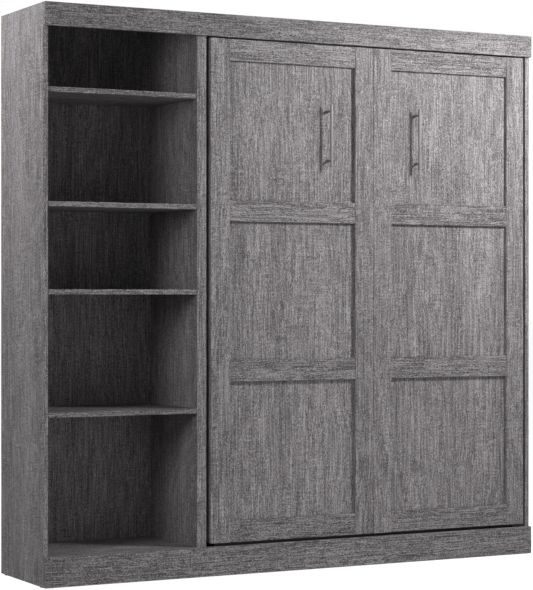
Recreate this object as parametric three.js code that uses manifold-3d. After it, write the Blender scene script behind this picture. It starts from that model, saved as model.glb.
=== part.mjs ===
// A wall bed with an open shelf unit beside it, shown closed.
// Millimetres, +Z up. X runs along the wall, the doors face -Y, and the wall is on the +Y side.
// Inside the assembly group, X is measured from the left outer face, Y from the face of the crown
// board and Z from the floor. The exported group's own origin is on the floor, under the centre.
import * as THREE from "three";
import { mergeVertices } from "three/addons/utils/BufferGeometryUtils.js";
import Module from "manifold-3d";

const wasm = await Module();
wasm.setup();

// ---- driving dimensions ---------------------------------------------------------------------
const WIDTH = 2134;
const HEIGHT = 2124;
const DEPTH = 452;
const BOARD = 19;
const FIT = 0.3; // gap left between pieces that touch
const GLIDE_HEIGHT = 3;

const CROWN_HEIGHT = 86;
const BASE_TOP = 113;

const SHELF_UNIT_WIDTH = 638;
const SHELF_TOP = 1819.5; // upper face of the highest shelf
const PIN_PITCH = 32;
const SHELF_STEPS = [0, 13, 23, 37]; // rows of shelf-pin holes below the highest shelf
const SHELF_PLAY = 1; // each end of a loose shelf
const BACK_THICKNESS = 4;
const BACK_INSET = 12; // rear edge of the sides to the thin back

const FACE_BOTTOM = 125;
const FACE_TOP = 2033;
const FACE_SIDE_GAP = 15;
const FACE_FRONT = 10; // front of the stiles
const RAIL_SETBACK = 2; // the rails' faces stand this far behind the stiles'
const PANEL_FRONT = 26; // the recessed field
const PANEL_BACK = 42;
const STILE_WIDTH = 82;
const DOOR_GAP = 1;

const HANDLE_OFFSET = 201; // from the centre of the bed face
const HANDLE_HEIGHT = 1680;
const HANDLE_SPACING = 192;
const HANDLE_LENGTH = 245;
const HANDLE_BAR_RADIUS = 5.5;
const HANDLE_POST_RADIUS = 4.5;
const HANDLE_STANDOFF = 35;

const TUBE = 40; // square tube of the bed frame
const TUBE_WALL = 2;
const FRAME_HALF_WIDTH = 689;
const FRAME_BOTTOM = 128;
const FRAME_TOP = 2030;
const CENTRE_RAIL_WIDTH = 30;

const SLAT_COUNT = 18;
const SLAT_WIDTH = 68;
const SLAT_THICKNESS = 12;
const TAPE_WIDTH = 30;
const TAPE_THICKNESS = 1.2;

const MATTRESS_WIDTH = 1372;
const MATTRESS_LENGTH = 1900;
const MATTRESS_THICKNESS = 220;
const MATTRESS_BOTTOM = 105;
const MATTRESS_BACK = 96; // the face that lies on the slats
const STRAP_WIDTH = 50;
const STRAP_THICKNESS = 2;
const STRAP_CENTRE = 980;
const STOP_THICKNESS = 3;
const STOP_REACH = 208;
const STOP_END_GAP = 4;

// Points of the mechanism in the YZ plane: [distance from the crown's face, height].
const BED_PIVOT = [62, 250];
const STRUT_ANCHOR = [150, 880];
const CRANK_PIN = [122, 155];
const LEG_PIVOT = [110, 1860];
const LEG_LENGTH = 286;
const LEG_STOWED_ANGLE = -38.9; // degrees below straight back
const LEG_BAR_RADIUS = 11;
const LEG_ARM_HALF_WIDTH = 13;

// Layers beside the bed, each [near, far] from the centre plane of the bed.
const LAYER_HINGE_PLATE = [689.3, 695];
const LAYER_STRAP = [689.3, 691.3];
const LAYER_STRUT_EYE = [702, 712];
const LAYER_LEG_ARM = [718.7, 723.7];
const LAYER_CASE_PLATE = [724, 728.7];
const STRUT_CENTRE = 707;

const PIVOT_RADIUS = 10;
const PIN_RADIUS = 5;
const STUD_HEAD_RADIUS = 8;
const LEG_PIN_RADIUS = 6;
const RUNNING_GAP = 0.4; // on the radius, between a pin and its hole

const STRUT_TUBE_RADIUS = 11;
const STRUT_BORE_RADIUS = 9;
const STRUT_ROD_RADIUS = 5;
const STRUT_PISTON_RADIUS = 8.5;
const STRUT_TUBE_END = 535; // from the anchor to the tube's mouth
const STRUT_TUBE_START = 24;
const STRUT_BORE_END = 318; // from the anchor to the closed end of the bore
const STRUT_ROD_LENGTH = 240;
const STRUT_NECK = 18; // length of the rod guide in the tube's mouth
const EYE_RADIUS = 12;
const SHANK_RADIUS = 4.5;

// ---- derived places -------------------------------------------------------------------------
const BAY_LEFT = SHELF_UNIT_WIDTH + BOARD;
const BAY_RIGHT = WIDTH - BOARD;
const BAY_CENTRE = (BAY_LEFT + BAY_RIGHT) / 2;
const FACE_HALF_WIDTH = (BAY_RIGHT - BAY_LEFT) / 2 - FACE_SIDE_GAP;
const CROWN_BOTTOM = HEIGHT - CROWN_HEIGHT;
const FRAME_BACK = PANEL_BACK + TUBE;
const BACK_FRONT = DEPTH - BACK_INSET - BACK_THICKNESS;
const HANDLE_BAR_Y = PANEL_FRONT - HANDLE_STANDOFF;
const FRONT = HANDLE_BAR_Y - HANDLE_BAR_RADIUS;

// ---- colours --------------------------------------------------------------------------------
const FINISHES = {
  laminate: { color: 0x6f6c6b, roughness: 0.62, metalness: 0 },
  laminateEdge: { color: 0x7a7675, roughness: 0.6, metalness: 0 },
  nickel: { color: 0xa6a29c, roughness: 0.35, metalness: 1 },
  steel: { color: 0x2b2b2d, roughness: 0.45, metalness: 0.6 },
  zinc: { color: 0x9fa2a4, roughness: 0.4, metalness: 1 },
  plastic: { color: 0x1c1c1d, roughness: 0.7, metalness: 0 },
  slat: { color: 0xc9ab7c, roughness: 0.6, metalness: 0 },
  ticking: { color: 0xe6e3dc, roughness: 0.9, metalness: 0 },
  webbing: { color: 0x232428, roughness: 0.85, metalness: 0 },
};

// ---- shape helpers --------------------------------------------------------------------------
const middle = ([low, high]) => (low + high) / 2;

// The X range of a layer beside the bed: side -1 is the left of the bed, +1 the right.
function beside(side, [near, far]) {
  const ends = [BAY_CENTRE + side * near, BAY_CENTRE + side * far];
  return ends.sort((a, b) => a - b);
}

function solidOf(geometry) {
  const bare = geometry.clone();
  bare.deleteAttribute("normal");
  bare.deleteAttribute("uv");
  const merged = mergeVertices(bare, 1e-4);
  const triVerts = new Uint32Array(merged.index.array);
  const vertProperties = merged.attributes.position.array;
  return new wasm.Manifold(new wasm.Mesh({ numProp: 3, vertProperties, triVerts }));
}

function geometryOf(solid) {
  const { vertProperties, triVerts } = solid.getMesh();
  const geometry = new THREE.BufferGeometry();
  geometry.setAttribute("position", new THREE.BufferAttribute(vertProperties, 3));
  geometry.setIndex(new THREE.BufferAttribute(triVerts, 1));
  geometry.computeVertexNormals();
  return geometry;
}

const join = (...geometries) =>
  geometryOf(geometries.map(solidOf).reduce((whole, piece) => whole.add(piece)));

const cut = (geometry, ...tools) =>
  geometryOf(tools.map(solidOf).reduce((whole, tool) => whole.subtract(tool), solidOf(geometry)));

// A box between the limits given for each axis.
function block(x, y, z) {
  const size = [x, y, z].map(([low, high]) => high - low);
  return new THREE.BoxGeometry(...size).translate(middle(x), middle(y), middle(z));
}

// Round bars along each axis; the two other coordinates are the bar's centre.
function barX(x, [y, z], radius, sides = 32) {
  const bar = new THREE.CylinderGeometry(radius, radius, x[1] - x[0], sides);
  return bar.rotateZ(Math.PI / 2).translate(middle(x), y, z);
}

function barY(y, [x, z], radius, sides = 24) {
  return new THREE.CylinderGeometry(radius, radius, y[1] - y[0], sides).translate(x, middle(y), z);
}

function barZ(z, [x, y], radius, sides = 32) {
  const bar = new THREE.CylinderGeometry(radius, radius, z[1] - z[0], sides);
  return bar.rotateX(Math.PI / 2).translate(x, y, middle(z));
}

// A shape drawn in the YZ plane and extruded over a range of X.
function plate(shape, x) {
  const settings = { depth: x[1] - x[0], bevelEnabled: false, curveSegments: 16 };
  const geometry = new THREE.ExtrudeGeometry(shape, settings);
  const yzx = new THREE.Matrix4().makeBasis(
    new THREE.Vector3(0, 1, 0),
    new THREE.Vector3(0, 0, 1),
    new THREE.Vector3(1, 0, 0),
  );
  return geometry.applyMatrix4(yzx).translate(x[0], 0, 0);
}

// A flat link with round ends, from one point of the YZ plane to another.
function link([y0, z0], [y1, z1], radius, x) {
  const length = Math.hypot(y1 - y0, z1 - z0);
  const shape = new THREE.Shape();
  shape.absarc(0, 0, radius, Math.PI / 2, (3 * Math.PI) / 2, false);
  shape.absarc(length, 0, radius, -Math.PI / 2, Math.PI / 2, false);
  return plate(shape, x)
    .rotateX(Math.atan2(z1 - z0, y1 - y0))
    .translate(0, y0, z0);
}

// A rectangular tube with open ends, along Z from 0 to the length.
function tube(width, depth, length) {
  const outline = (w, d) => [
    new THREE.Vector2(-w / 2, -d / 2),
    new THREE.Vector2(w / 2, -d / 2),
    new THREE.Vector2(w / 2, d / 2),
    new THREE.Vector2(-w / 2, d / 2),
  ];
  const shape = new THREE.Shape(outline(width, depth));
  shape.holes.push(new THREE.Path(outline(width - 2 * TUBE_WALL, depth - 2 * TUBE_WALL)));
  return new THREE.ExtrudeGeometry(shape, { depth: length, bevelEnabled: false });
}

function turned(profile, sides = 32) {
  const points = profile.map(([radius, height]) => new THREE.Vector2(radius, height));
  return new THREE.LatheGeometry(points, sides).rotateX(Math.PI / 2);
}

// ---- scene graph ----------------------------------------------------------------------------
const wallBed = new THREE.Group();
const assembly = new THREE.Group();
assembly.position.set(-WIDTH / 2, -(FRONT + DEPTH - FIT / 2) / 2, 0);
wallBed.add(assembly);

function group() {
  const made = new THREE.Group();
  assembly.add(made);
  return made;
}

function piece(parent, name, finish, geometry) {
  const mesh = new THREE.Mesh(geometry, new THREE.MeshStandardMaterial(FINISHES[finish]));
  mesh.name = name;
  parent.add(mesh);
  return mesh;
}

// A board between the nominal faces of its neighbours, half the fitting gap short on every side.
function board(parent, name, finish, x, y, z) {
  const size = [x, y, z].map(([low, high]) => high - low - FIT);
  const mesh = piece(parent, name, finish, new THREE.BoxGeometry(...size));
  mesh.position.set(middle(x), middle(y), middle(z));
  return mesh;
}

// ---- case -----------------------------------------------------------------------------------
function makeCase() {
  const carcase = group();
  const depth = [BOARD, DEPTH];
  const height = [GLIDE_HEIGHT, HEIGHT];
  const topBoard = [HEIGHT - BOARD, HEIGHT];
  const bay = [BAY_LEFT, BAY_RIGHT];
  const shelfBay = [BOARD, SHELF_UNIT_WIDTH - BOARD];
  const rear = [DEPTH - BOARD, DEPTH];
  const laminate = (name, x, y, z) => board(carcase, name, "laminate", x, y, z);

  laminate("crown_board", [0, WIDTH], [0, BOARD], [CROWN_BOTTOM, HEIGHT]);
  laminate("base_board", [0, WIDTH], [0, BOARD], [GLIDE_HEIGHT, BASE_TOP]);

  laminate("bookcase_left_side", [0, BOARD], depth, height);
  laminate("bookcase_right_side", [shelfBay[1], SHELF_UNIT_WIDTH], depth, height);
  laminate("bookcase_top", shelfBay, depth, topBoard);
  laminate("bookcase_bottom", shelfBay, [BOARD, BACK_FRONT], [BASE_TOP - BOARD, BASE_TOP]);
  const backDepth = [BACK_FRONT, BACK_FRONT + BACK_THICKNESS];
  laminate("bookcase_back", shelfBay, backDepth, [BASE_TOP - BOARD, HEIGHT - BOARD]);

  laminate("bed_case_left_side", [SHELF_UNIT_WIDTH, BAY_LEFT], depth, height);
  laminate("bed_case_right_side", [BAY_RIGHT, WIDTH], depth, height);
  laminate("bed_case_top", bay, depth, topBoard);
  laminate("wall_fixing_rail", bay, rear, [HEIGHT - BOARD - 120, HEIGHT - BOARD]);
  laminate("headboard_panel", bay, rear, [540, 1080]);
  laminate("lower_back_rail", bay, rear, [GLIDE_HEIGHT + 20, GLIDE_HEIGHT + 140]);
  laminate("front_stretcher", bay, [BOARD, 2 * BOARD], [GLIDE_HEIGHT, BASE_TOP - BOARD]);
}

function makeShelves() {
  const shelves = group();
  const x = [BOARD + SHELF_PLAY, SHELF_UNIT_WIDTH - BOARD - SHELF_PLAY];
  const y = [BOARD + 1, BACK_FRONT - SHELF_PLAY];
  SHELF_STEPS.forEach((steps, i) => {
    const top = SHELF_TOP - steps * PIN_PITCH;
    board(shelves, `shelf_${i + 1}`, "laminate", x, y, [top - BOARD, top]);
  });
}

function makeGlides() {
  const glides = group();
  const rows = [BOARD / 2, SHELF_UNIT_WIDTH, WIDTH - BOARD / 2];
  const radii = [9, 16, 9];
  let number = 1;
  for (const y of [BOARD + 30, DEPTH - 40]) {
    rows.forEach((x, i) => {
      const disc = barZ([0, GLIDE_HEIGHT - FIT], [x, y], radii[i]);
      piece(glides, `glide_${number}`, "plastic", disc);
      number += 1;
    });
  }
}

// Steel plates screwed to the inside of the bay: one carries the bed's pivot, one the gas strut.
function makeCaseHardware(side, hand) {
  const fittings = group();
  const layer = beside(side, LAYER_CASE_PLATE);
  const [pivotY, pivotZ] = BED_PIVOT;
  const [anchorY, anchorZ] = STRUT_ANCHOR;

  const pivotPlate = block(layer, [pivotY - 32, pivotY + 68], [pivotZ - 60, pivotZ + 60]);
  const hole = barX([layer[0] - 1, layer[1] + 1], BED_PIVOT, PIVOT_RADIUS + RUNNING_GAP);
  piece(fittings, `case_pivot_plate_${hand}`, "zinc", cut(pivotPlate, hole));

  const anchorPlate = block(layer, [anchorY - 25, anchorY + 25], [anchorZ - 50, anchorZ + 50]);
  const eyeFace = LAYER_STRUT_EYE[0];
  const studX = beside(side, [eyeFace - 3, LAYER_CASE_PLATE[1] - 1]);
  const stud = barX(studX, STRUT_ANCHOR, PIN_RADIUS);
  const headX = beside(side, [eyeFace - 4.5, eyeFace - 0.5]);
  const head = barX(headX, STRUT_ANCHOR, STUD_HEAD_RADIUS);
  piece(fittings, `strut_bracket_${hand}`, "zinc", join(anchorPlate, stud, head));
}

// ---- bed face -------------------------------------------------------------------------------
function makeFace() {
  const face = group();
  const height = [FACE_BOTTOM, FACE_TOP];
  const panelHeight = (FACE_TOP - FACE_BOTTOM - 4 * STILE_WIDTH) / 3;
  let stile = 1;
  for (const hand of ["left", "right"]) {
    const outer = BAY_CENTRE - FACE_HALF_WIDTH;
    const inner = BAY_CENTRE - DOOR_GAP / 2;
    const width = inner - outer;
    const x0 = hand === "left" ? outer : BAY_CENTRE + DOOR_GAP / 2;
    const x1 = x0 + width;
    const thickness = [PANEL_FRONT, PANEL_BACK];
    board(face, `face_board_${hand}`, "laminate", [x0, x1], thickness, height);
    for (const left of [x0, x1 - STILE_WIDTH]) {
      const x = [left, left + STILE_WIDTH];
      board(face, `stile_${stile}`, "laminate", x, [FACE_FRONT, PANEL_FRONT], height);
      stile += 1;
    }
    for (let i = 0; i < 4; i += 1) {
      const bottom = FACE_BOTTOM + i * (STILE_WIDTH + panelHeight);
      const x = [x0 + STILE_WIDTH, x1 - STILE_WIDTH];
      const y = [FACE_FRONT + RAIL_SETBACK, PANEL_FRONT];
      const z = [bottom, bottom + STILE_WIDTH];
      board(face, `face_rail_${hand}_${i + 1}`, "laminate", x, y, z);
    }
  }
}

function makeHandle(side, hand) {
  const x = BAY_CENTRE + side * HANDLE_OFFSET;
  const half = HANDLE_LENGTH / 2;
  const barEnds = [HANDLE_HEIGHT - half, HANDLE_HEIGHT + half];
  const bar = barZ(barEnds, [x, HANDLE_BAR_Y], HANDLE_BAR_RADIUS, 24);
  const posts = [-1, 1].map((end) => {
    const z = HANDLE_HEIGHT + (end * HANDLE_SPACING) / 2;
    return barY([HANDLE_BAR_Y, PANEL_FRONT - FIT / 2], [x, z], HANDLE_POST_RADIUS);
  });
  piece(group(), `handle_${hand}`, "nickel", join(bar, ...posts));
}

// ---- bed frame ------------------------------------------------------------------------------
function makeFrame() {
  const frame = group();
  const y = (PANEL_BACK + FRAME_BACK) / 2;
  const tubeDepth = TUBE - FIT;
  const innerHalf = FRAME_HALF_WIDTH - TUBE - FIT;

  for (const [side, hand] of [[-1, "left"], [1, "right"]]) {
    const x = BAY_CENTRE + side * (FRAME_HALF_WIDTH - TUBE / 2);
    const rail = tube(TUBE, tubeDepth, FRAME_TOP - FRAME_BOTTOM).translate(x, y, FRAME_BOTTOM);
    const bracketLayer = beside(side, [FRAME_HALF_WIDTH - 1, FRAME_HALF_WIDTH + 5]);
    const bracket = link([y, LEG_PIVOT[1]], LEG_PIVOT, 18, bracketLayer);
    const root = FRAME_HALF_WIDTH + 1;
    const pin = barX(beside(side, [root, LAYER_LEG_ARM[1] + 1.5]), LEG_PIVOT, LEG_PIN_RADIUS);
    const collar = barX(beside(side, [root, LAYER_LEG_ARM[0] - 0.5]), LEG_PIVOT, LEG_PIN_RADIUS + 3);
    const clear = block(
      beside(side, [FRAME_HALF_WIDTH - TUBE + TUBE_WALL, FRAME_HALF_WIDTH - TUBE_WALL]),
      [PANEL_BACK + TUBE_WALL + FIT / 2, FRAME_BACK - TUBE_WALL - FIT / 2],
      [FRAME_BOTTOM - 1, FRAME_TOP + 1],
    );
    piece(frame, `frame_side_rail_${hand}`, "steel", cut(join(rail, bracket, pin, collar), clear));
  }

  const crossRail = (name, bottom) => {
    const rail = tube(TUBE, tubeDepth, 2 * innerHalf).rotateY(Math.PI / 2);
    piece(frame, name, "steel", rail.translate(BAY_CENTRE - innerHalf, y, bottom + TUBE / 2));
  };
  crossRail("frame_head_rail", FRAME_BOTTOM);
  crossRail("frame_foot_rail", FRAME_TOP - TUBE);

  const bottom = FRAME_BOTTOM + TUBE + FIT;
  const centre = tube(CENTRE_RAIL_WIDTH, tubeDepth, FRAME_TOP - TUBE - FIT - bottom);
  piece(frame, "frame_centre_rail", "steel", centre.translate(BAY_CENTRE, y, bottom));
}

// A plate on the bed frame with the stub shaft that turns in the case, and the lever for the strut.
function makeHingePlate(side, hand) {
  const layer = beside(side, LAYER_HINGE_PLATE);
  const [pivotY, pivotZ] = BED_PIVOT;
  const strip = block(layer, [pivotY - 16, pivotY + 16], [pivotZ - 90, pivotZ + 150]);
  const lever = link(BED_PIVOT, CRANK_PIN, 17, layer);
  const root = LAYER_HINGE_PLATE[1] - 1;
  const stub = barX(beside(side, [root, LAYER_CASE_PLATE[1] - 1]), BED_PIVOT, PIVOT_RADIUS);
  const collar = barX(beside(side, [root, LAYER_LEG_ARM[0]]), BED_PIVOT, PIVOT_RADIUS + 5);
  piece(group(), `bed_hinge_plate_${hand}`, "zinc", join(strip, lever, stub, collar));
}

// ---- bedding support ------------------------------------------------------------------------
function makeSlats() {
  const half = MATTRESS_WIDTH / 2 - 2;
  const x = [BAY_CENTRE - half, BAY_CENTRE + half];
  const front = FRAME_BACK + FIT / 2;
  const first = FRAME_BOTTOM + SLAT_WIDTH / 2 + 8;
  const last = FRAME_TOP - SLAT_WIDTH / 2 - 30;
  const pieces = [];
  for (let i = 0; i < SLAT_COUNT; i += 1) {
    const z = first + ((last - first) * i) / (SLAT_COUNT - 1);
    const height = [z - SLAT_WIDTH / 2, z + SLAT_WIDTH / 2];
    pieces.push(block(x, [front, front + SLAT_THICKNESS], height));
  }
  for (const offset of [-420, 420]) {
    const across = [BAY_CENTRE + offset - TAPE_WIDTH / 2, BAY_CENTRE + offset + TAPE_WIDTH / 2];
    const top = front + SLAT_THICKNESS;
    pieces.push(block(across, [top - TAPE_THICKNESS, top + TAPE_THICKNESS / 2], [first, last]));
  }
  piece(group(), "slat_platform", "slat", join(...pieces));
}

function makeMattress() {
  const bedding = group();
  const half = MATTRESS_WIDTH / 2;
  const top = MATTRESS_BACK + MATTRESS_THICKNESS;
  const x = [BAY_CENTRE - half, BAY_CENTRE + half];
  const z = [MATTRESS_BOTTOM, MATTRESS_BOTTOM + MATTRESS_LENGTH];
  board(bedding, "mattress", "ticking", x, [MATTRESS_BACK, top], z);

  // The strap runs from one side rail, over the mattress, to the other.
  const [near, far] = LAYER_STRAP;
  const outerX = [BAY_CENTRE - far, BAY_CENTRE + far];
  const innerX = [BAY_CENTRE - near, BAY_CENTRE + near];
  const strapZ = [STRAP_CENTRE - STRAP_WIDTH / 2, STRAP_CENTRE + STRAP_WIDTH / 2];
  const cutZ = [STRAP_CENTRE - STRAP_WIDTH, STRAP_CENTRE + STRAP_WIDTH];
  const outer = block(outerX, [PANEL_BACK + 10, top + STRAP_THICKNESS + FIT], strapZ);
  const hollow = block(innerX, [PANEL_BACK, top + FIT], cutZ);
  piece(bedding, "mattress_strap", "webbing", cut(outer, hollow));

  // An angle under the head rail, on which the mattress stands when the bed is up.
  const stopHalf = half - STOP_END_GAP;
  const stopX = [BAY_CENTRE - stopHalf, BAY_CENTRE + stopHalf];
  const front = PANEL_BACK + FIT;
  const shelfTop = MATTRESS_BOTTOM - FIT;
  const underside = shelfTop - STOP_THICKNESS;
  const shelf = block(stopX, [front, front + STOP_REACH], [underside, shelfTop]);
  const flange = block(stopX, [front, front + STOP_THICKNESS], [underside, FRAME_BOTTOM - FIT]);
  piece(bedding, "mattress_end_stop", "steel", join(shelf, flange));
}

// ---- leg and struts -------------------------------------------------------------------------
// A bar on two arms. Stowed, it crosses behind the mattress; turned over the foot it is the leg.
function makeLeg() {
  const angle = THREE.MathUtils.degToRad(LEG_STOWED_ANGLE);
  const [y, z] = LEG_PIVOT;
  const end = [y + LEG_LENGTH * Math.cos(angle), z + LEG_LENGTH * Math.sin(angle)];
  const far = LAYER_LEG_ARM[1];
  const pieces = [barX([BAY_CENTRE - far, BAY_CENTRE + far], end, LEG_BAR_RADIUS)];
  const holes = [];
  for (const side of [-1, 1]) {
    const layer = beside(side, LAYER_LEG_ARM);
    pieces.push(link(LEG_PIVOT, end, LEG_ARM_HALF_WIDTH, layer));
    holes.push(barX([layer[0] - 1, layer[1] + 1], LEG_PIVOT, LEG_PIN_RADIUS + RUNNING_GAP));
  }
  piece(group(), "leg_bar", "steel", cut(join(...pieces), ...holes));
}

// Each strut's pieces are drawn hanging straight down from their own eye, then swung into place.
function makeStrut(side, hand) {
  const strut = group();
  const x = BAY_CENTRE + side * STRUT_CENTRE;
  const swing = Math.atan2(CRANK_PIN[0] - STRUT_ANCHOR[0], STRUT_ANCHOR[1] - CRANK_PIN[1]);
  const eyeX = [LAYER_STRUT_EYE[0] - STRUT_CENTRE, LAYER_STRUT_EYE[1] - STRUT_CENTRE];
  const neckRadius = STRUT_ROD_RADIUS + RUNNING_GAP;

  const cylinder = turned([
    [0, -STRUT_BORE_END],
    [0, -STRUT_TUBE_START],
    [STRUT_TUBE_RADIUS, -STRUT_TUBE_START],
    [STRUT_TUBE_RADIUS, -STRUT_TUBE_END],
    [neckRadius, -STRUT_TUBE_END],
    [neckRadius, -STRUT_TUBE_END + STRUT_NECK],
    [STRUT_BORE_RADIUS, -STRUT_TUBE_END + STRUT_NECK],
    [STRUT_BORE_RADIUS, -STRUT_BORE_END],
    [0, -STRUT_BORE_END],
  ].reverse());
  const shank = barZ([-STRUT_TUBE_START - 2, 0], [0, 0], SHANK_RADIUS);
  const eye = barX(eyeX, [0, 0], EYE_RADIUS);
  const eyeHole = barX([eyeX[0] - 1, eyeX[1] + 1], [0, 0], PIN_RADIUS + RUNNING_GAP);
  const drilled = cut(join(cylinder, shank, eye), eyeHole);
  const body = piece(strut, `strut_cylinder_${hand}`, "steel", drilled);
  body.position.set(x, ...STRUT_ANCHOR);
  body.rotation.x = swing;

  const rod = turned([
    [0, 0],
    [STRUT_ROD_RADIUS, 0],
    [STRUT_ROD_RADIUS, STRUT_ROD_LENGTH - 12],
    [STRUT_PISTON_RADIUS, STRUT_ROD_LENGTH - 12],
    [STRUT_PISTON_RADIUS, STRUT_ROD_LENGTH],
    [0, STRUT_ROD_LENGTH],
  ]);
  const rodEye = barX(eyeX, [0, 0], EYE_RADIUS);
  // The stud stops just short of the lever on the bed, which it turns on in the real mechanism.
  const studEnds = [0, LAYER_HINGE_PLATE[1] + 0.5 - STRUT_CENTRE].map((offset) => side * offset);
  const stud = barX(studEnds.sort((a, b) => a - b), [0, 0], PIN_RADIUS);
  const slider = piece(strut, `strut_rod_${hand}`, "zinc", join(rod, rodEye, stud));
  slider.position.set(x, ...CRANK_PIN);
  slider.rotation.x = swing;
}

// ---- assembly -------------------------------------------------------------------------------
makeCase();
makeShelves();
makeGlides();
makeFace();
makeFrame();
makeSlats();
makeMattress();
makeLeg();
for (const [side, hand] of [[-1, "left"], [1, "right"]]) {
  makeHandle(side, hand);
  makeCaseHardware(side, hand);
  makeHingePlate(side, hand);
  makeStrut(side, hand);
}

export default wallBed;
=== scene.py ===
"""The looks of the wall bed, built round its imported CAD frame. Metres, in the frame's own axes."""
import math
import random

import bmesh
import bpy
from mathutils import Matrix, Vector


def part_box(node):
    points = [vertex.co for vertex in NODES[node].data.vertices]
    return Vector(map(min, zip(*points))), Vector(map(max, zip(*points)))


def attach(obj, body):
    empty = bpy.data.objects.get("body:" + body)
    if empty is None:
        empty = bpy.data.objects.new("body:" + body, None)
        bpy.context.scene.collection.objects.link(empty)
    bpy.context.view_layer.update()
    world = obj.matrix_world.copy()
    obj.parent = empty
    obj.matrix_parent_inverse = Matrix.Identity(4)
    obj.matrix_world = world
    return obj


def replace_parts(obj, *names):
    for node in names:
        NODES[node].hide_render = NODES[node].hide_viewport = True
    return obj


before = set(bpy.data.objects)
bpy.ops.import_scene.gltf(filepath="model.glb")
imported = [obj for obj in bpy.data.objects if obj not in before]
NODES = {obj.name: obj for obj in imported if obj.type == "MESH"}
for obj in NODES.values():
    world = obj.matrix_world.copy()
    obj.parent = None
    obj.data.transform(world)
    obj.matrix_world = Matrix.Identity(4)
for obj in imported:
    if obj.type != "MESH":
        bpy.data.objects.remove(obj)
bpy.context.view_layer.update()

HANDS = ("left", "right")


# ---- shader graphs --------------------------------------------------------------------------
class Graph:
    """A material under construction. Methods named after a node return its output socket."""

    def __init__(self, name):
        self.material = bpy.data.materials.new(name)
        self.material.use_nodes = True
        self.tree = self.material.node_tree
        self.tree.nodes.clear()
        self.shader = self.node("BsdfPrincipled")
        output = self.node("OutputMaterial")
        self.tree.links.new(self.shader.outputs["BSDF"], output.inputs["Surface"])

    def node(self, kind):
        return self.tree.nodes.new("ShaderNode" + kind)

    def put(self, socket, value):
        if isinstance(value, bpy.types.NodeSocket):
            self.tree.links.new(value, socket)
        else:
            socket.default_value = value

    def place(self):
        return self.node("TexCoord").outputs["Object"]

    def own(self, name):
        """A custom property of the object, as a vector."""
        node = self.node("Attribute")
        node.attribute_type = "OBJECT"
        node.attribute_name = name
        return node.outputs["Vector"]

    def move(self, vector, scale=(1, 1, 1), turn=(0, 0, 0)):
        node = self.node("Mapping")
        self.put(node.inputs["Vector"], vector)
        node.inputs["Scale"].default_value = scale
        node.inputs["Rotation"].default_value = turn
        return node.outputs["Vector"]

    def vector(self, operation, a, b):
        node = self.node("VectorMath")
        node.operation = operation
        self.put(node.inputs[0], a)
        self.put(node.inputs[1], b)
        return node.outputs["Vector"]

    def math(self, operation, a, b=0.0, clamp=False):
        node = self.node("Math")
        node.operation = operation
        node.use_clamp = clamp
        self.put(node.inputs[0], a)
        self.put(node.inputs[1], b)
        return node.outputs["Value"]

    def noise(self, vector, scale=1.0, detail=2.0, roughness=0.5):
        node = self.node("TexNoise")
        self.put(node.inputs["Vector"], vector)
        node.inputs["Scale"].default_value = scale
        node.inputs["Detail"].default_value = detail
        node.inputs["Roughness"].default_value = roughness
        return node.outputs["Fac"]

    def ramp(self, factor, stops):
        node = self.node("ValToRGB")
        self.put(node.inputs["Fac"], factor)
        elements = node.color_ramp.elements
        while len(elements) < len(stops):
            elements.new(0.5)
        for element, (position, color) in zip(elements, stops):
            element.position = position
            element.color = (*color, 1.0) if isinstance(color, tuple) else (color,) * 3 + (1.0,)
        return node.outputs["Color"]

    def mix(self, factor, a, b):
        node = self.node("Mix")
        node.data_type = "RGBA"
        self.put(node.inputs["Factor"], factor)
        self.put(node.inputs["A"], a)
        self.put(node.inputs["B"], b)
        return node.outputs["Result"]

    def weigh(self, base, *terms):
        """base plus each (weight, socket centred on a half)."""
        total = base
        for weight, socket in terms:
            centred = self.math("SUBTRACT", socket, 0.5)
            total = self.math("ADD", total, self.math("MULTIPLY", centred, weight))
        return total

    def finish(self, color=None, rough=None, height=None, depth=0.0, **sockets):
        if color is not None:
            self.put(self.shader.inputs["Base Color"], color)
        if rough is not None:
            self.put(self.shader.inputs["Roughness"], rough)
        if height is not None:
            node = self.node("Bump")
            node.inputs["Distance"].default_value = depth
            self.put(node.inputs["Height"], height)
            self.tree.links.new(node.outputs["Normal"], self.shader.inputs["Normal"])
        for name, value in sockets.items():
            self.shader.inputs[name.replace("_", " ")].default_value = value
        return self.material


# ---- materials ------------------------------------------------------------------------------
# How far the grain wavers, how light the print is, how strong its contrast is and how it is turned,
# by the axis that a board's grain runs along.
RIPPLE = {"x": 0.009, "z": 0.0018}
SHADE = {"x": 0.86, "z": 1.0}
CONTRAST = {"x": 1.15, "z": 0.88}
GRAIN_TURN = {"x": (0, math.pi / 2, 0), "z": (0, 0, 0)}


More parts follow.
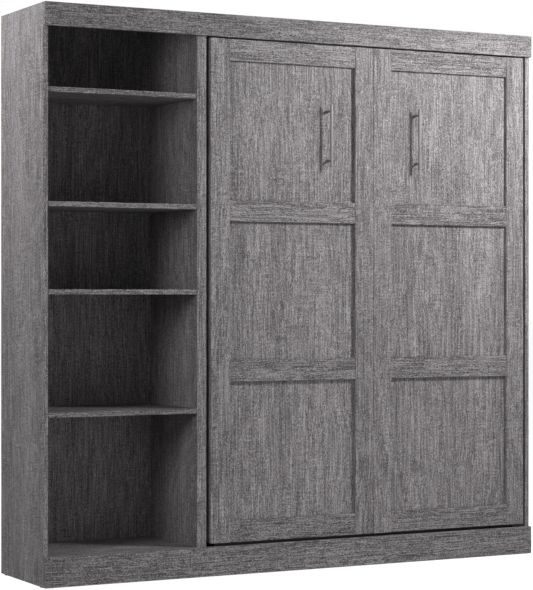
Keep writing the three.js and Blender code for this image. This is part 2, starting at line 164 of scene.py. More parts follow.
def laminate(axis):
    """Grey rough-sawn oak print, with its grain along one axis of the frame."""
    g = Graph("grey_laminate_" + axis)
    start = g.vector("ADD", g.place(), g.own("grain_offset"))
    straight = g.move(start, turn=GRAIN_TURN[axis])
    wander = g.math("SUBTRACT", g.noise(g.move(straight, (3.5, 3.5, 1.6)), detail=2.0), 0.5)
    ripple = g.math("SUBTRACT", g.noise(g.move(straight, (30, 30, 16)), detail=1.0), 0.5)
    swing = g.math("ADD", g.math("MULTIPLY", wander, 0.05), g.math("MULTIPLY", ripple, RIPPLE[axis]))
    shift = g.node("CombineXYZ")
    for side in "XY":
        g.put(shift.inputs[side], swing)
    grain = g.vector("ADD", straight, shift.outputs["Vector"])

    pores = g.noise(g.move(grain, (620, 620, 45)), detail=2.0, roughness=0.6)
    fleck = g.noise(g.move(grain, (350, 350, 170)), detail=1.0, roughness=0.6)
    line = g.noise(g.move(grain, (320, 320, 4.5)), detail=1.0, roughness=0.6)
    broad = g.noise(g.move(grain, (30, 30, 0.7)), detail=2.0, roughness=0.5)
    band = g.noise(g.move(grain, (9, 9, 0.6)), detail=2.0)
    saw = g.noise(g.move(straight, (22, 22, 230)), detail=2.0)
    patch = g.noise(g.move(straight, (9, 9, 5)), detail=2.0)
    patch = g.math("MULTIPLY", g.math("SUBTRACT", patch, 0.46, clamp=True), 7.0, clamp=True)
    saw_mark = g.math("MULTIPLY", g.math("SUBTRACT", saw, 0.5), patch)

    across = g.node("SeparateXYZ")
    g.put(across.inputs["Vector"], straight)
    field = g.noise(g.move(straight, (2.2, 2.2, 0.9)), detail=1.0)
    rings = g.math("ADD", g.math("MULTIPLY", across.outputs["X"], 90.0), g.math("MULTIPLY", field, 150.0))
    ring = g.math("POWER", g.math("ADD", g.math("MULTIPLY", g.math("SINE", rings), 0.5), 0.5), 3.0)

    gain = CONTRAST[axis]
    fine = ((0.7 * gain, pores), (1.7 * gain, fleck), (1.35 * gain, line))
    tone = g.weigh(0.5, *fine, (0.12, broad), (0.35, band))
    tone = g.math("ADD", tone, g.math("MULTIPLY", saw_mark, 0.65))
    tone = g.math("ADD", tone, g.math("MULTIPLY", g.math("SUBTRACT", ring, 0.3), 0.07))
    shade = SHADE[axis]
    color = g.ramp(tone, [
        (0.10, tuple(shade * c for c in (0.065, 0.058, 0.061))),
        (0.5, tuple(shade * c for c in (0.206, 0.193, 0.199))),
        (0.90, tuple(shade * c for c in (0.46, 0.436, 0.445))),
    ])
    # Each board's tone: painted shade or painted light on the crown, base and bookcase top, back and bottom,
    # a random tone on the rest.
    color = g.vector("MULTIPLY", color, g.own("board_tone_and_painted_light"))
    rough = g.weigh(0.62, (0.25, line))
    return g.finish(color, rough, tone, 0.0004, Specular_IOR_Level=0.3)


def brushed(name, tint, axis, rough):
    """Metal brushed along one axis of the frame."""
    g = Graph(name)
    scale = [900, 900, 900]
    scale["xyz".index(axis)] = 12
    lines = g.noise(g.move(g.place(), scale), detail=2.0)
    shade = g.weigh(0.5, (0.6, lines))
    dark = tuple(0.75 * c for c in tint)
    color = g.ramp(shade, [(0.2, dark), (0.8, tint)])
    return g.finish(color, g.weigh(rough, (0.2, lines)), shade, 0.00005, Metallic=1.0)


def zinc():
    g = Graph("zinc_plate")
    spangle = g.noise(g.place(), 90.0, detail=3.0)
    color = g.ramp(spangle, [(0.3, (0.38, 0.39, 0.40)), (0.7, (0.58, 0.59, 0.60))])
    return g.finish(color, g.weigh(0.36, (0.3, spangle)), spangle, 0.0001, Metallic=1.0)


def coated_steel():
    g = Graph("black_coated_steel")
    peel = g.noise(g.place(), 700.0, detail=2.0)
    worn = g.noise(g.place(), 14.0, detail=3.0)
    color = g.ramp(worn, [(0.35, (0.018, 0.018, 0.02)), (0.75, (0.035, 0.035, 0.037))])
    return g.finish(color, g.weigh(0.45, (0.2, worn)), peel, 0.00012)


def moulded(name, tint):
    g = Graph(name)
    grain = g.noise(g.place(), 1500.0, detail=2.0)
    tone = g.noise(g.place(), 60.0, detail=2.0)
    color = g.ramp(tone, [(0.3, tuple(0.8 * c for c in tint)), (0.7, tint)])
    return g.finish(color, g.weigh(0.55, (0.2, tone)), grain, 0.00008)


def slat_wood():
    g = Graph("slat_birch")
    grain = g.noise(g.move(g.place(), (4, 160, 160)), detail=4.0, roughness=0.6)
    ply = g.noise(g.move(g.place(), (1.5, 30, 30)), detail=2.0)
    tone = g.weigh(0.5, (0.9, grain), (0.4, ply))
    color = g.ramp(tone, [(0.2, (0.44, 0.29, 0.15)), (0.8, (0.74, 0.56, 0.34))])
    return g.finish(color, g.weigh(0.5, (0.2, grain)), grain, 0.0002)


def woven(name, dark, light, pitch, depth, rough=0.85):
    """A plain weave: two crossed sets of threads, pitch metres apart."""
    g = Graph(name)
    split = g.node("SeparateXYZ")
    g.put(split.inputs["Vector"], g.place())
    turns = 2 * math.pi / pitch
    warp = g.math("SINE", g.math("MULTIPLY", split.outputs["X"], turns))
    side = g.math("ADD", split.outputs["Z"], split.outputs["Y"])
    weft = g.math("SINE", g.math("MULTIPLY", side, turns))
    weave = g.math("ADD", g.math("MULTIPLY", g.math("MULTIPLY", warp, weft), 0.5), 0.5)
    mottle = g.noise(g.place(), 25.0, detail=4.0)
    tone = g.weigh(0.5, (0.5, weave), (0.5, mottle))
    color = g.ramp(tone, [(0.1, dark), (0.9, light)])
    return g.finish(color, rough, weave, depth, Sheen_Weight=0.25, Specular_IOR_Level=0.2)


def quilted_ticking(low, high):
    """Woven ticking with a dark band sunk along each quilting seam of the upper panel: stitching, and
    painted shade of the seam's valley.
    """
    g = Graph("mattress_ticking")
    split = g.node("SeparateXYZ")
    g.put(split.inputs["Vector"], g.place())
    turns = 2 * math.pi / 0.0022
    warp = g.math("SINE", g.math("MULTIPLY", split.outputs["X"], turns))
    weft = g.math("SINE", g.math("MULTIPLY", split.outputs["Z"], turns))
    weave = g.math("ADD", g.math("MULTIPLY", g.math("MULTIPLY", warp, weft), 0.5), 0.5)
    stitch_and_seam_shade = None
    for axis, start, end, count in (("X", low.x, high.x, QUILT_ACROSS), ("Z", low.z, high.z, QUILT_ALONG)):
        inner = start + MATTRESS_INSET
        pitch = (end - start - 2 * MATTRESS_INSET) / count
        place = g.math("DIVIDE", g.math("SUBTRACT", split.outputs[axis], inner), pitch)
        away = g.math("MULTIPLY", g.math("PINGPONG", place, 0.5), pitch)
        near = g.math("SUBTRACT", 1.0, g.math("MULTIPLY", away, 250.0), clamp=True)
        stitch_and_seam_shade = near if stitch_and_seam_shade is None else g.math("MAXIMUM", stitch_and_seam_shade, near)
    panel = g.math("GREATER_THAN", split.outputs["Y"], seam_levels(low, high)[1] - 0.001)
    stitch_and_seam_shade = g.math("MULTIPLY", stitch_and_seam_shade, panel)
    mottle = g.noise(g.place(), 25.0, detail=4.0)
    tone = g.weigh(0.5, (0.5, weave), (0.5, mottle))
    cloth = g.ramp(tone, [(0.1, (0.52, 0.50, 0.465)), (0.9, (0.74, 0.72, 0.685))])
    # The band is about 8 mm wide and mixed towards dark grey: it is stitching plus painted shade in the
    # seam.
    color = g.mix(g.math("MULTIPLY", stitch_and_seam_shade, 0.6), cloth, (0.24, 0.23, 0.22, 1))
    height = g.math("SUBTRACT", g.math("MULTIPLY", weave, 0.25), stitch_and_seam_shade)
    return g.finish(color, 0.85, height, 0.0012, Sheen_Weight=0.25, Specular_IOR_Level=0.2)


LAMINATE = {axis: laminate(axis) for axis in "xz"}
NICKEL = brushed("brushed_nickel", (0.34, 0.33, 0.318), "z", 0.48)
POLISHED = brushed("polished_rod", (0.72, 0.72, 0.73), "x", 0.18)
ZINC = zinc()
STEEL = coated_steel()
PLASTIC = moulded("black_plastic", (0.022, 0.022, 0.023))
BIRCH = slat_wood()
PIPING = woven("piping_cloth", (0.30, 0.30, 0.31), (0.42, 0.42, 0.43), 0.0016, 0.0002)
WEBBING = woven("webbing", (0.012, 0.012, 0.014), (0.05, 0.05, 0.056), 0.0024, 0.0004)


# ---- CAD nodes that stay --------------------------------------------------------------------
BOARD_BEVEL = 0.0008
FITTED_BEVEL = 0.0004
WELD_DISTANCE = 0.00002


def dress(name, material, bevel=BOARD_BEVEL):
    """Gives a CAD node its material and rounds its edges."""
    node = NODES[name]
    node.data.materials.clear()
    node.data.materials.append(material)
    weld = node.modifiers.new("weld", "WELD")
    weld.merge_threshold = WELD_DISTANCE
    rounding = node.modifiers.new("edges", "BEVEL")
    rounding.width = bevel
    rounding.segments = 2
    rounding.limit_method = "ANGLE"
    rounding.angle_limit = math.radians(40)
    rounding.harden_normals = True
    return node


# Painted shade darkens the crown, the bookcase top and the bookcase back, and painted light brightens the
# base and the bookcase bottom. The other boards vary in tone by 3% at random.
PAINTED_LIGHT_BY_BOARD = {"crown_board": 0.9, "base_board": 1.03, "bookcase_top": 0.9, "bookcase_back": 0.8,
                "bookcase_bottom": 1.3}
SHADE_SPREAD = 0.03


def dress_boards():
    """Every laminate board, with the grain along its length and its own place in the print."""
    draw = random.Random(7)
    along_x = ("crown", "base", "bookcase_top", "bookcase_bottom", "shelf", "bed_case_top",
               "wall_fixing", "headboard", "lower_back", "front_stretcher", "face_rail")
    along_z = ("bookcase_left", "bookcase_right", "bookcase_back", "bed_case_left",
               "bed_case_right", "face_board", "stile")
    for name in sorted(NODES):
        axis = "x" if name.startswith(along_x) else "z" if name.startswith(along_z) else None
        if axis:
            fitted = name.startswith(("stile", "face_rail"))
            node = dress(name, LAMINATE[axis], FITTED_BEVEL if fitted else BOARD_BEVEL)
            node["grain_offset"] = [draw.uniform(0, 40) for _ in range(3)]
            usual = draw.uniform(1 - SHADE_SPREAD, 1 + SHADE_SPREAD)
            # The listed boards get painted shade or painted light, the others a random tone.
            node["board_tone_and_painted_light"] = [PAINTED_LIGHT_BY_BOARD.get(name, usual)] * 3


def dress_hardware():
    """The steel and the slats. The nodes that a piece below replaces get no look here."""
    for name in sorted(NODES):
        if name.startswith("frame_") or name == "mattress_end_stop":
            dress(name, STEEL)
        elif name.startswith(("case_pivot", "strut_bracket", "bed_hinge")):
            dress(name, ZINC, 0.0006)
        elif name == "leg_bar":
            dress(name, STEEL, 0.0006)
        elif name == "slat_platform":
            dress(name, BIRCH, 0.001)


# ---- mesh tools -----------------------------------------------------------------------------
def settle(bm, name, material, body, smooth=35):
    """Turns a bmesh into a shown piece that rides on a CAD body."""
    mesh = bpy.data.meshes.new(name)
    bmesh.ops.recalc_face_normals(bm, faces=bm.faces)
    bm.to_mesh(mesh)
    bm.free()
    mesh.materials.append(material)
    obj = bpy.data.objects.new(name, mesh)
    bpy.context.scene.collection.objects.link(obj)
    mesh.shade_smooth()
    mesh.set_sharp_from_angle(angle=math.radians(smooth))
    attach(obj, body)
    return obj


def rings(bm, loops, closed=False):
    """Joins loops of points, each as long as the next, into a skin; open ends get a cap."""
    made = [[bm.verts.new(point) for point in loop] for loop in loops]
    pairs = list(zip(made, made[1:])) + ([(made[-1], made[0])] if closed else [])
    for one, two in pairs:
        for i in range(len(one)):
            j = (i + 1) % len(one)
            bm.faces.new((one[i], one[j], two[j], two[i]))
    if not closed:
        bm.faces.new(list(reversed(made[0])))
        bm.faces.new(made[-1])


def circle(radius, height, sides, corners=0):
    """Points round the Z axis; with corners, on a polygon whose flats are that radius away."""
    points = []
    for i in range(sides):
        angle = 2 * math.pi * i / sides
        reach = radius
        if corners:
            part = 2 * math.pi / corners
            reach = radius / math.cos((angle % part) - part / 2)
        points.append(Vector((reach * math.cos(angle), reach * math.sin(angle), height)))
    return points


def turned(bm, profile, place, sides=48):
    """A body of revolution: (radius, height) pairs about the Z axis of the matrix place."""
    loops = [[place @ p for p in circle(radius, height, sides)] for radius, height in profile]
    rings(bm, loops)


def slab(bm, low, high, edge):
    """A block with rounded edges."""
    middle = (Vector(low) + Vector(high)) / 2
    size = Vector(high) - Vector(low)
    place = Matrix.Translation(middle) @ Matrix.Diagonal((*size, 1))
    made = bmesh.ops.create_cube(bm, size=1.0, matrix=place)
    edges = list({e for v in made["verts"] for e in v.link_edges})
    bmesh.ops.bevel(bm, geom=edges, offset=edge, segments=3, affect="EDGES", profile=0.5)


def facing(place, direction):
    """A matrix at a place, with its Z axis along a direction."""
    turn = Vector(direction).to_track_quat("Z", "Y").to_matrix().to_4x4()
    return Matrix.Translation(place) @ turn


def screw(bm, place, direction, radius=0.004, proud=0.0012):
    """A low domed screw head with a hexagonal socket."""
    at = facing(place, direction)
    socket = 0.42 * radius
    sides = 24
    loops = [
        circle(socket * 0.98, proud - 0.5 * radius, sides, 6),
        circle(socket, proud, sides, 6),
        circle(0.62 * radius, proud, sides),
        circle(0.88 * radius, 0.75 * proud, sides),
        circle(radius, 0.25 * proud, sides),
        circle(radius, -0.0006, sides),
    ]
    rings(bm, [[at @ p for p in loop] for loop in loops])


# ---- hardware -------------------------------------------------------------------------------
CENTRE_X = sum(end.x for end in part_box("mattress")) / 2
HANDLE_BAR = 0.0055
HANDLE_POST = 0.0045
HANDLE_SPACING = 0.192


def make_handles():
    """A round bar with eased ends on two posts that flare at the panel."""
    for hand in HANDS:
        name = "handle_" + hand
        low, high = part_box(name)
        x = (low.x + high.x) / 2
        y = low.y + HANDLE_BAR
        length = high.z - low.z
        bm = bmesh.new()
        r = HANDLE_BAR
        end = [(0.5 * r, 0.0), (0.84 * r, 0.0004), (r, 0.0016)]
        profile = end + [(a, length - b) for a, b in reversed(end)]
        turned(bm, profile, Matrix.Translation((x, y, low.z)))
        reach = high.y - y
        for side in (-0.5, 0.5):
            z = (low.z + high.z) / 2 + side * HANDLE_SPACING
            post = [(HANDLE_POST, 0.0), (HANDLE_POST, reach - 0.006), (HANDLE_POST * 1.12, reach - 0.003),
                    (HANDLE_POST * 1.4, reach - 0.0012), (HANDLE_POST * 1.45, reach)]
            turned(bm, post, facing((x, y, z), (0, 1, 0)))
        bar = settle(bm, "pull_" + hand, NICKEL, "bed")
        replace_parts(bar, name)


PIN_INSET = 0.055
PIN_DROP = 0.0048
PIN_PROFILE = [(0.0044, 0.0), (0.0044, 0.0012), (0.0025, 0.0018), (0.0025, 0.0085), (0.0019, 0.0092)]


def make_shelf_pins():
    """Four collared pins under each shelf, in the bookcase sides."""
    for name in sorted(n for n in NODES if n.startswith("shelf_")):
        low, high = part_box(name)
        bm = bmesh.new()
        for x, way in ((low.x - 0.0006, 1), (high.x + 0.0006, -1)):
            for y in (low.y + PIN_INSET, high.y - PIN_INSET):
                turned(bm, PIN_PROFILE, facing((x, y, low.z - PIN_DROP), (way, 0, 0)), 32)
        settle(bm, name + "_pins", NICKEL, "case")


def make_glides():
    """Moulded glides with a chamfered foot and the head of the nail that holds each."""
    for name in sorted(n for n in NODES if n.startswith("glide_")):
        low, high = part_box(name)
        radius = (high.x - low.x) / 2
        middle = ((low.x + high.x) / 2, (low.y + high.y) / 2, 0)
        bm = bmesh.new()
        profile = [(radius * 0.3, 0.0006), (radius * 0.42, 0.0), (radius * 0.82, 0.0),
                   (radius * 0.97, 0.0009), (radius, 0.0016), (radius, high.z)]
        turned(bm, profile, Matrix.Translation(middle))
        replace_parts(settle(bm, "foot_" + name[6:], PLASTIC, "case"), name)


SCREW_INSET = 0.012
FLUSH_HEIGHT = 0.00025
BRACKET_THICKNESS = 0.0047
BOLT_OFFSET = 0.695


def make_screws():
    """Screw heads on the fixing rail, the case plates and the hinge plates."""
    bm = bmesh.new()
    low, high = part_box("wall_fixing_rail")
    for share in (0.06, 0.35, 0.65, 0.94):
        x = low.x + share * (high.x - low.x)
        for z in (low.z + 0.03, high.z - 0.03):
            screw(bm, (x, low.y, z), (0, -1, 0), 0.0055, 0.0018)
    settle(bm, "fixing_rail_screws", ZINC, "case")
    for side, hand in ((-1, "left"), (1, "right")):
        bm = bmesh.new()
        low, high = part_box("case_pivot_plate_" + hand)
        inner = high.x if side < 0 else low.x
        for y in (low.y + SCREW_INSET, high.y - SCREW_INSET):
            for z in (low.z + SCREW_INSET, high.z - SCREW_INSET):
                screw(bm, (inner, y, z), (-side, 0, 0), proud=FLUSH_HEIGHT)
        settle(bm, "pivot_plate_screws_" + hand, STEEL, "case")
        bm = bmesh.new()
        low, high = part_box("strut_bracket_" + hand)
        plate = low.x + BRACKET_THICKNESS if side < 0 else high.x - BRACKET_THICKNESS
        for z in (low.z + SCREW_INSET, high.z - SCREW_INSET):
            screw(bm, (plate, (low.y + high.y) / 2, z), (-side, 0, 0), proud=FLUSH_HEIGHT)
        settle(bm, "anchor_plate_screws_" + hand, STEEL, "case")
        bm = bmesh.new()
        low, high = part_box("frame_side_rail_" + hand)
        hinge_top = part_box("bed_hinge_plate_" + hand)[1].z
        centre = CENTRE_X + side * BOLT_OFFSET
        for z in (hinge_top - 0.02, hinge_top - 0.06, hinge_top - 0.10):
            screw(bm, (centre, low.y + 0.02, z), (side, 0, 0), 0.006, 0.003)
        settle(bm, "hinge_plate_bolts_" + hand, STEEL, "bed")


# ---- leg and struts -------------------------------------------------------------------------
LEG_TUBE = 0.011
SLEEVE_LENGTH = 0.09
SLEEVE_INSET = 0.16


def make_leg_sleeves():
    """Rubber sleeves on the crossbar, on which the open bed stands."""
    low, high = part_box("leg_bar")
    y, z = high.y - LEG_TUBE, low.z + LEG_TUBE
    for hand, x in (("left", low.x + SLEEVE_INSET), ("right", high.x - SLEEVE_INSET)):
        bm = bmesh.new()
        r = LEG_TUBE + 0.0018
        profile = [(LEG_TUBE * 0.9, 0), (r - 0.0008, 0), (r, 0.0012)]
        for rib in range(1, 6):
            h = rib * SLEEVE_LENGTH / 6
            profile += [(r, h - 0.0015), (r - 0.0008, h - 0.0008), (r - 0.0008, h + 0.0008), (r, h + 0.0015)]
        profile += [(r, SLEEVE_LENGTH - 0.0012), (r - 0.0008, SLEEVE_LENGTH),
                    (LEG_TUBE * 0.9, SLEEVE_LENGTH)]
        turned(bm, profile, facing((x - SLEEVE_LENGTH / 2, y, z), (1, 0, 0)))
        settle(bm, "leg_sleeve_" + hand, PLASTIC, "leg")


STRUT_ANCHOR = (-0.068675, 0.880)
CRANK_PIN = (-0.096675, 0.155)
STRUT_OFFSET = 0.707
TUBE_START, TUBE_END, TUBE_RADIUS = 0.024, 0.535, 0.011
ROD_RADIUS = 0.005
EYE_RADIUS, EYE_WIDTH = 0.012, 0.010


def eye(bm, place, hole):
    """A ring about the X axis, with a hole through it."""
    half = EYE_WIDTH / 2
    r, e = EYE_RADIUS, 0.0012
    profile = [(hole, -half), (r - e, -half), (r, -half + e), (r, half - e), (r - e, half), (hole, half)]
    at = facing(place, (1, 0, 0))
    rings(bm, [[at @ p for p in circle(a, b, 40)] for a, b in profile], closed=True)


def make_struts():
    """Gas struts: a coated tube with a rolled mouth, a polished rod and a ring at each end."""
    top = Vector((0, *STRUT_ANCHOR))
    foot = Vector((0, *CRANK_PIN))
    down = (foot - top).normalized()
    for side, hand in ((-1, "left"), (1, "right")):
        x = Vector((CENTRE_X + side * STRUT_OFFSET, 0, 0))
        bm = bmesh.new()
        r, e = TUBE_RADIUS, 0.0025
        tube = [(0.005, 0.010), (0.005, TUBE_START - 0.002), (r - e, TUBE_START), (r, TUBE_START + e),
                (r, TUBE_END - 0.016), (r - 0.0009, TUBE_END - 0.0145), (r - 0.0009, TUBE_END - 0.0125),
                (r, TUBE_END - 0.011), (r, TUBE_END - e), (r - e, TUBE_END), (ROD_RADIUS + 0.0006, TUBE_END),
                (ROD_RADIUS + 0.0006, TUBE_END - 0.004)]
        turned(bm, tube, facing(x + top, down))
        eye(bm, x + top, 0.0054)
        cylinder = settle(bm, "strut_tube_" + hand, STEEL, "strut_cylinder_" + hand)
        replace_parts(cylinder, "strut_cylinder_" + hand)
        bm = bmesh.new()
        length = (foot - top).length
        rod = [(ROD_RADIUS, TUBE_END - 0.05), (ROD_RADIUS, length - 0.020), (0.0042, length - 0.019),
               (0.0042, length - 0.018), (0.0065, length - 0.017), (0.0065, length - 0.010)]
        turned(bm, rod, facing(x + top, down))
        eye(bm, x + foot, 0.0049)
        stud = [(0.0046, -0.0112), (0.005, -0.0104), (0.005, 0.005), (0.0072, 0.005), (0.0072, 0.0068),
                (0.0062, 0.0078)]
        turned(bm, stud, facing(x + foot, (side, 0, 0)))
        shown = settle(bm, "strut_piston_" + hand, POLISHED, "strut_rod_" + hand)
        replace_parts(shown, "strut_rod_" + hand)


# ---- bedding --------------------------------------------------------------------------------
SLAT_COUNT = 18
SLAT_WIDTH = 0.068


def make_slat_holders():
    """A moulded pocket over each end of each slat."""
    low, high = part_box("slat_platform")
    first = low.z + SLAT_WIDTH / 2
    pitch = (high.z - low.z - SLAT_WIDTH) / (SLAT_COUNT - 1)
    bm = bmesh.new()
    for i in range(SLAT_COUNT):
        z = first + i * pitch
        for outer, inner in ((low.x - 0.001, low.x + 0.034), (high.x + 0.001, high.x - 0.034)):
            x = sorted((outer, inner))
            slab(bm, (x[0], low.y + 0.0002, z - SLAT_WIDTH / 2 - 0.002),
                 (x[1], high.y + 0.0009, z + SLAT_WIDTH / 2 + 0.002), 0.0022)
    settle(bm, "slat_holders", PLASTIC, "bed")


MATTRESS_INSET = 0.006
QUILT_ACROSS, QUILT_ALONG, QUILT_CELLS = 10, 14, 6
BORDER_CELLS = 10
CORNER_RADIUS = 0.055
PIPE_RADIUS = 0.0048
CROWN = 0.005
PUFF_CAP = 0.008


def seam_levels(low, high):
    """The heights of the border's two seams: the flat panel's, then the quilted panel's."""
    return low.y + PIPE_RADIUS + 0.0004, high.y - CROWN - PUFF_CAP


def rounded_plan(u, w, half_u, half_w):
    """Moves a point of a rectangle into the same rectangle with round corners."""
    du = abs(u) - (half_u - CORNER_RADIUS)
    dw = abs(w) - (half_w - CORNER_RADIUS)
    if du <= 0 or dw <= 0:
        return u, w
    reach = max(du, dw)
    length = math.hypot(du, dw)
    return (math.copysign(half_u - CORNER_RADIUS + du / length * reach, u),
            math.copysign(half_w - CORNER_RADIUS + dw / length * reach, w))


def mattress_cover(low, high):
    """The cover as sewn: two panels and a border, in cells small enough to swell between seams.
    Gives the bmesh and the sorted indices of the vertices that are held by a seam."""
    nx, nz = QUILT_ACROSS * QUILT_CELLS, QUILT_ALONG * QUILT_CELLS
    centre = (low + high) / 2
    half = (high - low) / 2
    half_x, half_z = half.x - MATTRESS_INSET, half.z - MATTRESS_INSET
    front, back = seam_levels(low, high)
    bm = bmesh.new()
    points, held = {}, set()

    def point(i, j, k):
        if (i, j, k) in points:
            return points[i, j, k]
        u = (2 * i / nx - 1) * half_x
        w = (2 * j / nz - 1) * half_z
        u, w = rounded_plan(u, w, half_x, half_z)
        y = front + (back - front) * k / BORDER_CELLS
        inside = 0 < i < nx and 0 < j < nz
        if inside:
            dome = (1 - (u / half_x) ** 4) * (1 - (w / half_z) ** 4)
            y += CROWN * dome if k else -(PIPE_RADIUS - 0.0006) * min(1.0, 12 * dome)
        vertex = bm.verts.new((centre.x + u, y, centre.z + w))
        points[i, j, k] = vertex
        seam = k in (0, BORDER_CELLS) and not inside
        quilted = inside and k and (i % QUILT_CELLS == 0 or j % QUILT_CELLS == 0)
        if seam or quilted or (inside and not k):
            held.add(vertex)
        return vertex

    def square(at, one, two):
        """The cell between a grid point and the next ones along two directions."""
        steps = ((0, 0), (1, 0), (1, 1), (0, 1))
        bm.faces.new([point(*(c + a * u + b * v for c, u, v in zip(at, one, two))) for a, b in steps])

    for k in (0, BORDER_CELLS):
        for i in range(nx):
            for j in range(nz):
                square((i, j, k), (1, 0, 0), (0, 1, 0))
    for k in range(BORDER_CELLS):
        for i in range(nx):
            for j in (0, nz):
                square((i, j, k), (1, 0, 0), (0, 0, 1))
        for j in range(nz):
            for i in (0, nx):
                square((i, j, k), (0, 1, 0), (0, 0, 1))
    bmesh.ops.recalc_face_normals(bm, faces=bm.faces)
    bm.verts.index_update()
    return bm, sorted(v.index for v in held)


PRESSURE = 25.0
SWELL_STEPS = 20


def inflate(obj, held):
    """Swells the cover by cloth simulation between its seams, and keeps each point near its start."""
    group = obj.vertex_groups.new(name="seams")
    group.add(held, 1.0, "REPLACE")
    start = [v.co.copy() for v in obj.data.vertices]
    cloth = obj.modifiers.new("cloth", "CLOTH")
    cloth.settings.use_pressure = True
    cloth.settings.uniform_pressure_force = PRESSURE
    cloth.settings.effector_weights.gravity = 0
    cloth.settings.vertex_group_mass = "seams"
    cloth.settings.tension_stiffness = 8
    cloth.settings.compression_stiffness = 8
    cloth.settings.shear_stiffness = 4
    cloth.settings.bending_stiffness = 0.3
    cloth.point_cache.frame_end = SWELL_STEPS
    for step in range(1, SWELL_STEPS + 1):
        bpy.context.scene.frame_set(step)
    evaluated = obj.evaluated_get(bpy.context.evaluated_depsgraph_get())
    moved = []
    for place, vertex in zip(start, evaluated.to_mesh().vertices):
        shift = vertex.co - place
        moved.append(place + shift * min(1.0, PUFF_CAP / max(shift.length, 1e-9)))
    evaluated.to_mesh_clear()
    obj.modifiers.remove(cloth)
    for vertex, place in zip(obj.data.vertices, moved):
        vertex.co = place
    bpy.context.scene.frame_set(1)


def make_mattress():
    """A quilted foam mattress: crowned panel, bordered sides and piping round both seams."""
    low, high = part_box("mattress")
    bm, held = mattress_cover(low, high)
    mesh = bpy.data.meshes.new("mattress_cover")
    bm.to_mesh(mesh)
    bm.free()
    cover = bpy.data.objects.new("mattress_cover", mesh)
    bpy.context.scene.collection.objects.link(cover)
    mesh.materials.append(quilted_ticking(low, high))
    mesh.shade_smooth()
    inflate(cover, held)
    finer = cover.modifiers.new("finer", "SUBSURF")
    finer.levels = finer.render_levels = 1
    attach(cover, "bed")
    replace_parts(cover, "mattress")

    centre = (low + high) / 2
    half = (high - low) / 2
    half_x, half_z = half.x - MATTRESS_INSET, half.z - MATTRESS_INSET
    bm = bmesh.new()
    for y in seam_levels(low, high):
        path = []
        for corner, (sx, sz) in enumerate(((1, 1), (-1, 1), (-1, -1), (1, -1))):
            across = centre.x + sx * (half_x - CORNER_RADIUS)
            along = centre.z + sz * (half_z - CORNER_RADIUS)
            hub = Vector((across, y, along))
            for step in range(13):
                angle = math.pi / 2 * (corner + step / 12)
                path.append((hub, Vector((math.cos(angle), 0, math.sin(angle)))))
        loops = []
        for hub, out in path:
            middle = hub + out * (CORNER_RADIUS + 0.001)
            loops.append([middle + PIPE_RADIUS * (math.cos(a) * out + math.sin(a) * Vector((0, 1, 0)))
                          for a in (2 * math.pi * n / 14 for n in range(14))])
        rings(bm, loops, closed=True)
    piping = settle(bm, "mattress_piping", PIPING, "bed", smooth=60)


STRAP_CORNER = 0.018
STRAP_THICKNESS = 0.0018
STRAP_STEPS = 48
STRAP_CORNER_STEPS = 10
STRAP_FOOT = 0.03
STRAP_EDGE_DROP = 0.005


def strap_path(low, high):
    """The strap's outer face seen along the bed: up one side, over the crowned cover, down the other."""
    middle = (low.x + high.x) / 2
    reach = (high.x - low.x) / 2
    hub_y = high.y - STRAP_EDGE_DROP - STRAP_CORNER
    path = [(low.x, low.y), (low.x, low.y + STRAP_FOOT)]
    for n in range(STRAP_CORNER_STEPS + 1):
        angle = math.pi / 2 * n / STRAP_CORNER_STEPS
        path.append((low.x + STRAP_CORNER * (1 - math.cos(angle)), hub_y + STRAP_CORNER * math.sin(angle)))
    rise = list(path)
    flat = reach - STRAP_CORNER
    for n in range(1, STRAP_STEPS):
        u = -flat + 2 * flat * n / STRAP_STEPS
        path.append((middle + u, high.y - STRAP_EDGE_DROP * (u / flat) ** 4))
    return path + [(2 * middle - x, y) for x, y in reversed(rise)]


def make_strap():
    """The retaining strap: webbing that lies over the quilting and runs down to the side rails."""
    low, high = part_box("mattress_strap")
    thick = STRAP_THICKNESS
    path = strap_path(low, high)
    bm = bmesh.new()
    loops = []
    for i, (x, y) in enumerate(path):
        before = path[max(i - 1, 0)]
        after = path[min(i + 1, len(path) - 1)]
        along = Vector((after[0] - before[0], after[1] - before[1], 0)).normalized()
        inward = Vector((along.y, -along.x, 0))
        middle = Vector((x, y, (low.z + high.z) / 2)) + inward * thick / 2
        half = (high.z - low.z) / 2
        up = Vector((0, 0, 1))
        outline = []
        for sy, sz in ((1, -1), (1, 1), (-1, 1), (-1, -1)):
            outline.append(middle + inward * sy * thick / 2 + up * sz * (half - (0.0006 if sy > 0 else 0)))
        loops.append(outline)
    rings(bm, loops)
    strap = settle(bm, "retaining_strap", WEBBING, "bed", smooth=50)
    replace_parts(strap, "mattress_strap")


# ---- stage ----------------------------------------------------------------------------------
CAMERA_PLACE = (-3.7572, -7.0079, 1.0625)
CAMERA_HEADING = math.radians(27.895)
CAMERA_LENS = 122.77
FLOOR_SIZE = 160
BACKDROP_RADIUS = 75
AMBIENT = 0.19
KEY_PLACE = (1.27, -1.63, 2.33)
KEY_POWER = 148
KEY_RADIUS = 0.22
# Each soft lamp: its name, place, target, diameter and power.
SOFT_LAMPS = (
    ("left_front", (-4.0, -1.7, 2.0), (-0.9, -0.1, 1.1), 1.4, 43),
    ("floor_bounce", (0.1, -1.9, 0.05), (0.0, -0.2, 0.9), 2.4, 9),
    ("rear_fill", (1.5, 4.5, 2.6), (0, 0.2, 1.0), 2.0, 45),
    ("left_rear", (-2.3, 0.7, 2.8), (-1.07, 0.0, 2.0), 0.5, 27),
)


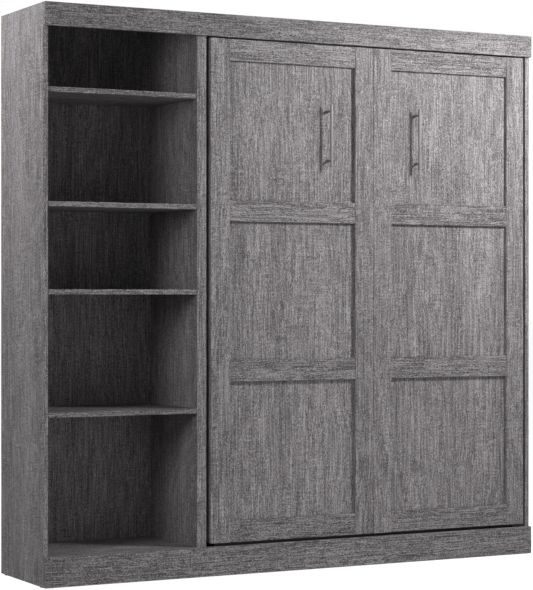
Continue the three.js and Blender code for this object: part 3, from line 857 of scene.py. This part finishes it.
def make_camera():
    data = bpy.data.cameras.new("camera")
    data.lens = CAMERA_LENS
    data.sensor_width = 36.0
    data.clip_end = 200.0
    camera = bpy.data.objects.new("camera", data)
    camera.location = CAMERA_PLACE
    camera.rotation_euler = (math.pi / 2, 0, -CAMERA_HEADING)
    bpy.context.scene.collection.objects.link(camera)
    bpy.context.scene.camera = camera


def make_light(name, place, target, size, power):
    data = bpy.data.lights.new(name, "AREA")
    data.shape = "DISK"
    data.size = size
    data.energy = power
    light = bpy.data.objects.new(name, data)
    light.location = place
    light.rotation_euler = (Vector(target) - Vector(place)).to_track_quat("-Z", "Y").to_euler()
    bpy.context.scene.collection.objects.link(light)


def plain_emitter(name, brightness, paint=None):
    material = bpy.data.materials.new(name)
    material.use_nodes = True
    tree = material.node_tree
    tree.nodes.clear()
    output = tree.nodes.new("ShaderNodeOutputMaterial")
    glow = tree.nodes.new("ShaderNodeEmission")
    glow.inputs["Strength"].default_value = brightness
    surface = glow.outputs[0]
    if paint:
        matt = tree.nodes.new("ShaderNodeBsdfDiffuse")
        matt.inputs["Color"].default_value = (paint, paint, paint, 1)
        both = tree.nodes.new("ShaderNodeAddShader")
        tree.links.new(surface, both.inputs[0])
        tree.links.new(matt.outputs[0], both.inputs[1])
        surface = both.outputs[0]
    tree.links.new(surface, output.inputs["Surface"])
    return material


def only_seen(obj):
    """The object shows to the camera and takes shadows, but it lights nothing and casts none."""
    obj.visible_diffuse = False
    obj.visible_glossy = False
    obj.visible_transmission = False
    obj.visible_shadow = False


def make_stage():
    """A pale floor and backdrop, the lamps, and an even light all round."""
    bpy.ops.mesh.primitive_plane_add(size=FLOOR_SIZE)
    floor = bpy.context.object
    floor.name = "floor"
    floor.data.materials.append(plain_emitter("pale_floor", 0.80, 0.85))
    only_seen(floor)
    bpy.ops.mesh.primitive_uv_sphere_add(radius=BACKDROP_RADIUS, segments=64, ring_count=32)
    dome = bpy.context.object
    dome.name = "backdrop"
    dome.data.materials.append(plain_emitter("pale_backdrop", 1.0))
    only_seen(dome)

    world = bpy.data.worlds.new("studio")
    world.use_nodes = True
    background = world.node_tree.nodes["Background"]
    background.inputs["Color"].default_value = (1, 1, 1, 1)
    background.inputs["Strength"].default_value = AMBIENT
    bpy.context.scene.world = world

    key = bpy.data.lights.new("key", "POINT")
    key.energy = KEY_POWER
    key.shadow_soft_size = KEY_RADIUS
    lamp = bpy.data.objects.new("key", key)
    lamp.location = KEY_PLACE
    bpy.context.scene.collection.objects.link(lamp)
    for name, place, target, size, power in SOFT_LAMPS:
        make_light(name, place, target, size, power)
    bpy.context.scene.view_settings.view_transform = "Standard"


# ---- build ----------------------------------------------------------------------------------
dress_boards()
dress_hardware()
make_handles()
make_shelf_pins()
make_glides()
make_screws()
make_leg_sleeves()
make_struts()
make_slat_holders()
make_mattress()
make_strap()
make_camera()
make_stage()
